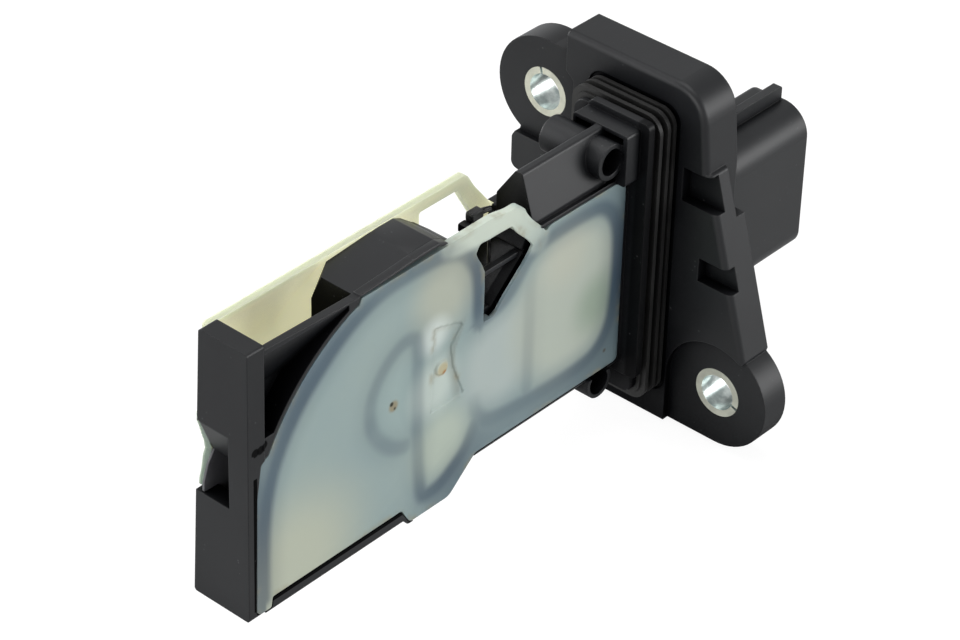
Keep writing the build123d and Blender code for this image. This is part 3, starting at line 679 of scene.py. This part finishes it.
def pull(piece, rise, raised, pulls):
    """Raises a plate's upper edge between two ends and moves places by (along, across) steps."""
    places = points_of(piece)
    upper = fade(UPPER_EDGE - places[:, 2], *EDGE_BAND)
    middle, half = sum(raised) / 2, (raised[1] - raised[0]) / 2
    upper *= fade(np.abs(places[:, 0] - middle), half, half + END_FADE)
    flat = places[:, [0, 2]].copy()
    places[:, 2] += rise * upper
    for centre, reach, step in pulls:
        share = fade(np.hypot(*(flat - centre).T), PULL_CORE * reach, reach)
        places[:, 0] += step[0] * share
        places[:, 2] += step[1] * share
    piece.data.vertices.foreach_set("co", (places * MM).ravel())
    piece.data.update()


far_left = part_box("far_cover")[0][0] / MM
for point in far_cover.data.vertices:
    along, across = point.co.x / MM, point.co.z / MM
    if along < far_left + NOTCH_DEPTH and NOTCH_SPAN[0] < across < NOTCH_SPAN[1]:
        point.co.x -= NOTCH_REACH * MM
pull(near_cover, NEAR_RISE, NEAR_RAISED, NEAR_PULLS)
pull(far_cover, FAR_RISE, FAR_RAISED, FAR_PULLS)
print("upper edges:", [round(points_of(p)[:, 2].max(), 2) for p in (near_cover, far_cover)])

# %% [markdown]
# ## Wall in the outlet notch
# In the tip's notch a slanted black wall leads inwards from above. Below it a thin dark sheet
# stands just before the far cover, where the passage ends: painted shade over the far cover's
# inner side, which lies in shadow there. Both are prisms: a filled circle with a few points is
# moved into the profile, and edit mode extrudes it across the blade.

# %% Outlet wall
SLANT_ACROSS = (-1.3, 3.0)
SLANT = [(-67.15, 9.15), (-65.3, 4.6), (-64.4, 4.8), (-64.4, 9.15)]
# Profile of the dark sheet, painted shade over the far cover's inner side.
SHADE_SHEET_ACROSS = (2.7, 3.0)
SHADE_SHEET = [
    (-65.3, 4.6), (-66.3, 3.0), (-66.95, 0.95), (-67.0, -0.2), (-65.3, -0.4), (-65.3, -2.6),
    (-61.5, -2.6), (-61.5, 4.6)]


def prism(name, profile, low, high):
    """Prism from low to high in Y, from a profile of (X, Z) points, all in millimetres."""
    bpy.ops.object.select_all(action="DESELECT")
    bpy.ops.mesh.primitive_circle_add(vertices=len(profile), radius=1.0, fill_type="NGON")
    piece = bpy.context.object
    piece.name = name
    for point, (x, z) in zip(piece.data.vertices, profile):
        point.co = (x * MM, low * MM, z * MM)
    bpy.ops.object.mode_set(mode="EDIT")
    bpy.ops.mesh.select_all(action="SELECT")
    bpy.ops.mesh.extrude_region_move(
        TRANSFORM_OT_translate={"value": (0.0, (high - low) * MM, 0.0)})
    bpy.ops.mesh.select_all(action="SELECT")
    bpy.ops.mesh.normals_make_consistent(inside=False)
    bpy.ops.object.mode_set(mode="OBJECT")
    return piece


outlet_wall = prism("outlet_wall", SLANT, *SLANT_ACROSS)
shade_sheet = prism("outlet_shade_sheet", SHADE_SHEET, *SHADE_SHEET_ACROSS)
# Painted shade: the sheet's dark grey finish stands for the shadow on the far cover's inner side.
shade_sheet_finish = resin_finish(
    "shade_sheet_finish", (0.075, 0.075, 0.083), (0.12, 0.12, 0.128), 0.5, 300.0)
for piece, finish in ((outlet_wall, housing_plastic), (shade_sheet, shade_sheet_finish)):
    piece.data.materials.append(finish)
    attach(piece, "root")
    print(piece.name, "faces:", len(piece.data.polygons))

# %% [markdown]
# ## Crown of the hump
# The hump beside the duct's mouth stays nearly level up to its right end and turns down there
# in a rounded corner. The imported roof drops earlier, so a crown lies on it, with a lip that
# fills the step to the near cover. A bevel modifier rounds their edges, and is applied.

# %% Hump crown
CROWN_ACROSS = (-2.95, 2.99)
CROWN = [
    (-41.6, 20.2), (-41.3, 20.47), (-40.2, 20.62), (-37.5, 20.62), (-36.3, 20.05),
    (-34.62, 18.76), (-35.6, 18.6), (-40.4, 19.9)]
LIP_ACROSS = (-4.02, -2.9)
LIP = [
    (-50.0, 19.7), (-49.9, 20.0), (-45.4, 20.25), (-41.3, 20.52), (-40.2, 20.62), (-37.5, 20.62),
    (-36.3, 20.05), (-36.0, 19.85), (-36.7, 19.85), (-37.6, 20.2), (-41.0, 20.1),
    (-45.0, 19.9)]

hump_crown = prism("hump_crown", CROWN, *CROWN_ACROSS)
lip = prism("hump_lip", LIP, *LIP_ACROSS)
bpy.ops.object.select_all(action="DESELECT")
lip.select_set(True)
hump_crown.select_set(True)
bpy.context.view_layer.objects.active = hump_crown
bpy.ops.object.join()
rounding = hump_crown.modifiers.new("rounding", "BEVEL")
rounding.width = 0.15 * MM
rounding.segments = 3
rounding.angle_limit = math.radians(15)
bpy.ops.object.modifier_apply(modifier="rounding")
bpy.ops.object.shade_smooth_by_angle(angle=SMOOTH_ANGLE)
hump_crown.data.materials.append(housing_plastic)
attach(hump_crown, "root")
print("crown faces:", len(hump_crown.data.polygons))

# %% [markdown]
# ## Wall lines behind the near cover
# The lines below are the middle lines of the housing's walls, as (along, across, strength,
# rest), with the first two in millimetres. The strength says how dark the wall shows through.
# The lines run clockwise round the hollows, so their left side is the side of the plate's rim,
# where the plate lies on solid plastic: there the rest says what share of the shade stays.
# Cutting the corners of a line twice turns it into a smooth curve. A wall's shade has a dark
# core and a wide foot, each given by the distances where it starts to fade and ends.

# %% Wall lines
CORE_OFFSET = 0.2
CORE_FADE, CORE_SHARE = (0.3, 1.6), 0.7
FOOT_FADE, FOOT_SHARE = (0.5, 4.0), 0.3
SHADE_GAIN = 1.05
LOOP_FADE, LOOP_COVERS = (1.1, 2.2), 0.6
CREASE_SHARP, CREASE_SOFT = (0.05, 0.4), (0.1, 1.5)
CHANNEL_WALL = [
    (-64.7, -12.8, 0.63, 0.9), (-64.6, -5.9, 0.7, 0.9), (-64.4, -2.1, 0.73, 0.8),
    (-63.7, 1.8, 0.68, 0.7), (-62.6, 4.8, 0.66, 0.5), (-60.8, 7.9, 0.68, 0.8),
    (-58.7, 10.6, 0.7, 0.85), (-55.8, 13.3, 0.68, 0.8), (-52.8, 15.6, 0.66, 0.7),
    (-49.7, 17.3, 0.62, 0.6), (-46.6, 18.3, 0.5, 0.1), (-43.2, 18.6, 0.52, 0.25),
    (-39.3, 18.5, 0.54, 0.25), (-36.0, 18.2, 0.54, 0.3), (-33.7, 17.2, 0.42, 0.0),
    (-32.2, 15.4, 0.62, 0.0), (-31.4, 13.7, 0.7, 0.0), (-31.1, 11.0, 0.7, 0.0),
    (-31.1, 8.3, 0.7, 0.0), (-30.9, 6.4, 0.5, 0.0)]
CHAMBER_WALL = [
    (-30.9, 6.4, 0.5, 0.0), (-28.3, 6.6, 0.5, 0.3), (-25.6, 7.5, 0.46, 0.5),
    (-23.7, 9.5, 0.44, 0.5), (-22.2, 11.2, 0.42, 0.2), (-20.2, 12.0, 0.48, 0.0),
    (-16.4, 12.2, 0.55, 0.2), (-12.2, 12.2, 0.6, 0.35), (-9.8, 11.8, 0.64, 0.4),
    (-8.1, 10.2, 0.68, 0.6), (-7.2, 7.9, 0.75, 0.8), (-7.0, 4.8, 0.78, 0.9),
    (-7.0, 1.0, 0.82, 0.9), (-7.2, -2.1, 0.8, 0.9), (-7.6, -4.8, 0.75, 0.75),
    (-8.9, -7.1, 0.69, 0.7), (-10.8, -8.4, 0.64, 0.7), (-13.3, -8.8, 0.62, 0.75),
    (-17.9, -8.8, 0.53, 0.75), (-22.5, -8.6, 0.46, 0.75), (-27.9, -8.0, 0.43, 0.75),
    (-29.8, -7.1, 0.41, 0.75), (-30.9, -5.5, 0.3, 0.0), (-31.2, -3.6, 0.12, 0.0),
    (-31.2, -2.6, 0.0, 0.0)]
LOBE_WALL = [
    (-31.0, -6.6, 0.35, 0.0), (-31.4, -7.5, 0.45, 0.75), (-32.7, -9.8, 0.63, 0.7),
    (-34.5, -11.1, 0.73, 0.75), (-36.8, -12.5, 0.7, 0.7), (-38.7, -12.8, 0.64, 0.5),
    (-39.8, -12.5, 0.6, 0.0), (-40.2, -9.0, 0.45, 0.0), (-40.3, -6.0, 0.38, 0.0),
    (-40.5, -3.6, 0.38, 0.0), (-40.5, 0.0, 0.34, 0.0), (-40.5, 4.0, 0.34, 0.0),
    (-40.5, 8.0, 0.38, 0.0)]
ISLAND_WALL = [
    (-40.5, 8.0, 0.38, 0.0), (-40.7, 9.6, 0.37, 0.0), (-41.8, 10.3, 0.37, 0.0),
    (-43.2, 10.4, 0.36, 0.0), (-45.1, 9.5, 0.35, 0.0), (-47.0, 7.7, 0.33, 0.0),
    (-48.2, 5.6, 0.33, 0.0), (-48.6, 3.7, 0.31, 0.0), (-48.5, 1.8, 0.4, 0.0),
    (-47.8, -0.2, 0.31, 0.0), (-46.2, -2.3, 0.33, 0.0), (-44.3, -3.8, 0.33, 0.0),
    (-42.4, -4.4, 0.3, 0.0), (-40.8, -4.2, 0.1, 0.0)]
BOARD_EDGE = [(-22.3, 9.0, 0.1, 0.0), (-22.3, 4.0, 0.2, 0.0), (-22.3, -7.6, 0.27, 0.0)]
WINDOW_LOOP = [
    (-35.6, 19.4, 0.5, 0.0), (-34.0, 18.9, 0.9, 0.0), (-26.0, 18.5, 1.0, 0.0),
    (-23.6, 16.0, 0.75, 0.0), (-21.4, 13.1, 0.55, 0.0), (-20.8, 12.8, 0.4, 0.0)]
# Painted shade: a soft tan-grey band along a creased facet, sharp on one side and soft on the
# other.
CREASE_SHADE_LINE = [(-33.4, 7.6, 0.5, 0.0), (-35.2, 4.5, 0.8, 0.0), (-33.7, -1.2, 0.6, 0.0)]


def smooth_line(points, rounds=2):
    """Corner cutting that keeps a line's two ends."""
    line = [np.array(p) for p in points]
    for _ in range(rounds):
        cut = [line[0]]
        for a, b in zip(line[:-1], line[1:]):
            cut.append(a * 0.75 + b * 0.25)
            cut.append(a * 0.25 + b * 0.75)
        cut.append(line[-1])
        line = cut
    return np.array(line)


def nearest_on_line(places, line):
    """Signed distance to a line, above 0 on its left, with its nearest strength and rest."""
    gap = np.full(len(places), 1e9)
    values = np.zeros((len(places), 2))
    for a, b in zip(line[:-1], line[1:]):
        along = b[:2] - a[:2]
        offset = places - a[:2]
        share = np.clip((offset @ along) / (along @ along), 0.0, 1.0)
        here = np.linalg.norm(offset - share[:, None] * along, axis=1)
        side = np.where(along[0] * offset[:, 1] - along[1] * offset[:, 0] < 0.0, -1.0, 1.0)
        nearer = here < np.abs(gap)
        gap = np.where(nearer, here * side, gap)
        values[nearer] = (a[2:] + share[:, None] * (b[2:] - a[2:]))[nearer]
    return gap, values[:, 0], values[:, 1]


def wall_shade(places, points):
    """Shade of one wall: a dark core, a wide soft foot and what rests on the rim's side."""
    gap, strength, rest = nearest_on_line(places, smooth_line(points))
    gap = gap - CORE_OFFSET
    core, foot = fade(np.abs(gap), *CORE_FADE), fade(np.abs(gap), *FOOT_FADE)
    shade = CORE_SHARE * core + FOOT_SHARE * foot
    shade = np.where(gap > 0.0, rest + (1.0 - rest) * shade, shade)
    return SHADE_GAIN * strength * shade


def store(piece, name, values):
    """Point attribute that a material can read."""
    layer = piece.data.attributes.new(name, "FLOAT", "POINT")
    layer.data.foreach_set("value", values.astype(np.float32))


near_flat = points_of(near_cover)[:, [0, 2]]
shade = np.zeros(len(near_flat))
for wall_points in (CHANNEL_WALL, CHAMBER_WALL, LOBE_WALL, ISLAND_WALL, BOARD_EDGE):
    shade = np.maximum(shade, wall_shade(near_flat, wall_points))
gap, strength, _ = nearest_on_line(near_flat, smooth_line(WINDOW_LOOP))
loop = strength * fade(np.abs(gap), *LOOP_FADE)
gap, strength, _ = nearest_on_line(near_flat, smooth_line(CREASE_SHADE_LINE, 1))
crease_shade = np.where(gap > 0.0, fade(gap, *CREASE_SHARP), fade(-gap, *CREASE_SOFT))
store(near_cover, "wall_shade", shade * (1.0 - LOOP_COVERS * loop))
store(near_cover, "window_loop", loop)
store(near_cover, "crease_shade", strength * crease_shade)
print("shade up to", round(shade.max(), 2), "loop up to", round(loop.max(), 2))

# %% [markdown]
# ## Rim of a plate
# Dirt and yellowing start at a plate's rim. The rim's points are the corners of the narrow side
# faces, and a search tree finds each point's distance to the nearest. The far plate's edge in
# the notch of the tip is marked too: it looks greener there, and painted shade makes it darker,
# because it lies in shadow.

# %% Rim distance
NOTCH_EDGE = -65.6
NOTCH_MIDDLE, NOTCH_HALF = 4.4, 5.0
RIM_FADE = (0.1, 0.8)


def rim_gap(piece):
    """Distance from each point to the plate's rim, in millimetres."""
    places = points_of(piece)
    rim = set()
    for face in piece.data.polygons:
        if abs(face.normal.y) < 0.5:
            rim.update(face.vertices)
    tree = KDTree(len(rim))
    for index in rim:
        tree.insert((places[index][0], 0.0, places[index][2]), index)
    tree.balance()
    return np.array([tree.find((x, 0.0, z))[2] for x, _, z in places])


far_places = points_of(far_cover)
# Painted shade on the far plate's edge in the notch, where it lies in shadow.
notch_height = fade(np.abs(far_places[:, 2] - NOTCH_MIDDLE), NOTCH_HALF, NOTCH_HALF + 0.4)
notch_along = fade(far_places[:, 0] - NOTCH_EDGE, 0.0, 1.0)
store(far_cover, "notch_edge_shade", notch_along * notch_height)
for piece in (near_cover, far_cover):
    gaps = rim_gap(piece)
    store(piece, "rim", fade(gaps, *RIM_FADE))
    print(piece.name, "rim points:", int((gaps < 0.01).sum()))

# %% [markdown]
# ## Milky plastic
# The covers are natural plastic. Light goes a little way in and comes back softened, so the
# shader scatters light below its surface. On the near cover the colour goes from cool
# grey-green to warm in soft spots, to blue-grey over a wall, and to cream round the window, and
# painted shade darkens it along a creased facet. Its marks are a gate with a brown spot, a dark
# pin mark with a tan ring, and one small scuff.
# Light that comes through the far cover makes its inner side shine, and a faint emission
# stands in for that. An openness node tells the inner side, which the housing shades, from
# the free one.

# %% Milky plastic
SOFT_SPOTS = [
    ((-60.0, -11.0), 3.0, 15.0, 0.9, (0.5, 0.53, 0.42)),
    ((-36.0, 14.0), 2.0, 8.0, 0.85, (0.465, 0.49, 0.4)),
    ((-43.5, 3.0), 3.0, 6.0, 0.8, (0.33, 0.43, 0.42)),
    ((-36.5, -7.0), 2.0, 7.0, 0.85, (0.49, 0.56, 0.47)),
    ((-38.0, 1.5), 1.5, 5.5, 0.75, (0.62, 0.7, 0.64)),
    ((-38.0, 8.5), 0.8, 3.5, 0.75, (0.7, 0.77, 0.73)),
    ((-27.0, 0.0), 3.5, 9.0, 0.95, (0.44, 0.51, 0.49)),
    ((-15.0, 2.0), 7.0, 13.0, 0.95, (0.48, 0.53, 0.46)),
    ((-16.0, 8.0), 1.0, 6.0, 0.7, (0.53, 0.55, 0.46)),
    ((-10.0, -1.0), 1.0, 6.0, 0.85, (0.31, 0.39, 0.31))]
MOULD_MARKS = [
    ((-36.7, 3.4), 0.5, 1.3, 1.0, (0.5, 0.46, 0.3)),
    ((-36.4, 2.8), 0.1, 0.6, 1.0, (0.42, 0.2, 0.06)),
    ((-44.6, 2.5), 0.4, 1.0, 1.0, (0.3, 0.27, 0.18)),
    ((-44.9, 2.9), 0.15, 0.4, 1.0, (0.02, 0.02, 0.012)),
    ((-44.4, 2.1), 0.05, 0.3, 1.0, (0.05, 0.045, 0.03)),
    ((-8.2, -9.0), 0.1, 0.4, 1.0, (0.09, 0.09, 0.08))]
UNLIT = (0.0, 0.0, 0.0)


def milky_finish(name, roughness):
    """Natural plastic shader without its colour."""
    material, tree, shader, place = new_material(name)
    clouds = add_group(tree, cloud_group, place, Scale=60.0)
    rough = range_in(tree, clouds, 0.0, 1.0, roughness, roughness + 0.1)
    tree.links.new(rough, shader.inputs["Roughness"])
    shader.inputs["Specular IOR Level"].default_value = 0.35
    shader.inputs["Subsurface Weight"].default_value = 0.15
    shader.inputs["Subsurface Radius"].default_value = (1.0, 1.0, 0.8)
    shader.inputs["Subsurface Scale"].default_value = 0.4 * MM
    grain = add_group(tree, grain_group, place, Scale=1500.0)
    add_bump(tree, shader, grain, 0.00003, 0.2, soft_edges(tree, 0.18 * MM))
    return material, tree, shader, place, clouds


def attribute(tree, name):
    """Value of a point attribute."""
    node = tree.nodes.new("ShaderNodeAttribute")
    node.attribute_name = name
    return node.outputs["Fac"]


def add_marks(tree, place, colour, marks):
    """Round marks over a colour, each as (centre, inner, outer, share, colour)."""
    for centre, inner, outer, share, tone in marks:
        mask = level_by(tree, round_mark(tree, place, centre, inner, outer), 0.0, share)
        colour = mix_colours(tree, mask, colour, tone)
    return colour


near_plastic, tree, shader, place, clouds = milky_finish("near_cover_plastic", 0.36)
colour = mix_colours(tree, clouds, (0.3, 0.39, 0.39), (0.325, 0.41, 0.395))
colour = add_marks(tree, place, colour, SOFT_SPOTS)
colour = mix_colours(tree, attribute(tree, "window_loop"), colour, (0.66, 0.73, 0.63))
colour = mix_colours(tree, attribute(tree, "wall_shade"), colour, (0.0, 0.026, 0.075))
# Painted shade along the creased facet.
crease_shade_share = level_by(tree, attribute(tree, "crease_shade"), 0.0, 0.5)
colour = mix_colours(tree, crease_shade_share, colour, (0.17, 0.165, 0.12))
haze = range_in(tree, noise_in(tree, place, 400.0, 3.0), 0.48, 0.72)
edge_dirt = level_by(tree, product_of(tree, attribute(tree, "rim"), haze), 0.0, 0.5)
colour = mix_colours(tree, edge_dirt, colour, (0.3, 0.26, 0.15))
colour = add_marks(tree, place, colour, MOULD_MARKS)
tree.links.new(colour, shader.inputs["Base Color"])
near_cover.data.materials.append(near_plastic)

far_plastic, tree, shader, place, clouds = milky_finish("far_cover_plastic", 0.4)
colour = mix_colours(tree, clouds, (0.56, 0.57, 0.45), (0.64, 0.62, 0.47))
colour = mix_colours(tree, attribute(tree, "rim"), colour, (0.54, 0.57, 0.43))
# Painted shade: the notch edge turns dark and greener and gets no glow.
notch_edge_shade = attribute(tree, "notch_edge_shade")
colour = mix_colours(tree, notch_edge_shade, colour, (0.19, 0.24, 0.2))
tree.links.new(colour, shader.inputs["Base Color"])
shader.inputs["Subsurface Weight"].default_value = 1.0
shader.inputs["Subsurface Radius"].default_value = (1.0, 1.0, 0.9)
shader.inputs["Subsurface Scale"].default_value = 1.6 * MM
hidden_side = range_in(tree, openness(tree, 6.0 * MM), 0.32, 0.88, 1.0, 0.12)
glow = mix_colours(tree, hidden_side, UNLIT, (0.66, 0.64, 0.42))
glow = mix_colours(tree, notch_edge_shade, glow, UNLIT)
tree.links.new(glow, shader.inputs["Emission Color"])
shader.inputs["Emission Strength"].default_value = 0.76
far_cover.data.materials.append(far_plastic)

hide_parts("near_cover")
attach(near_cover, "root")
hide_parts("far_cover")
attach(far_cover, "root")
print("covers dressed:", near_cover.name, far_cover.name)
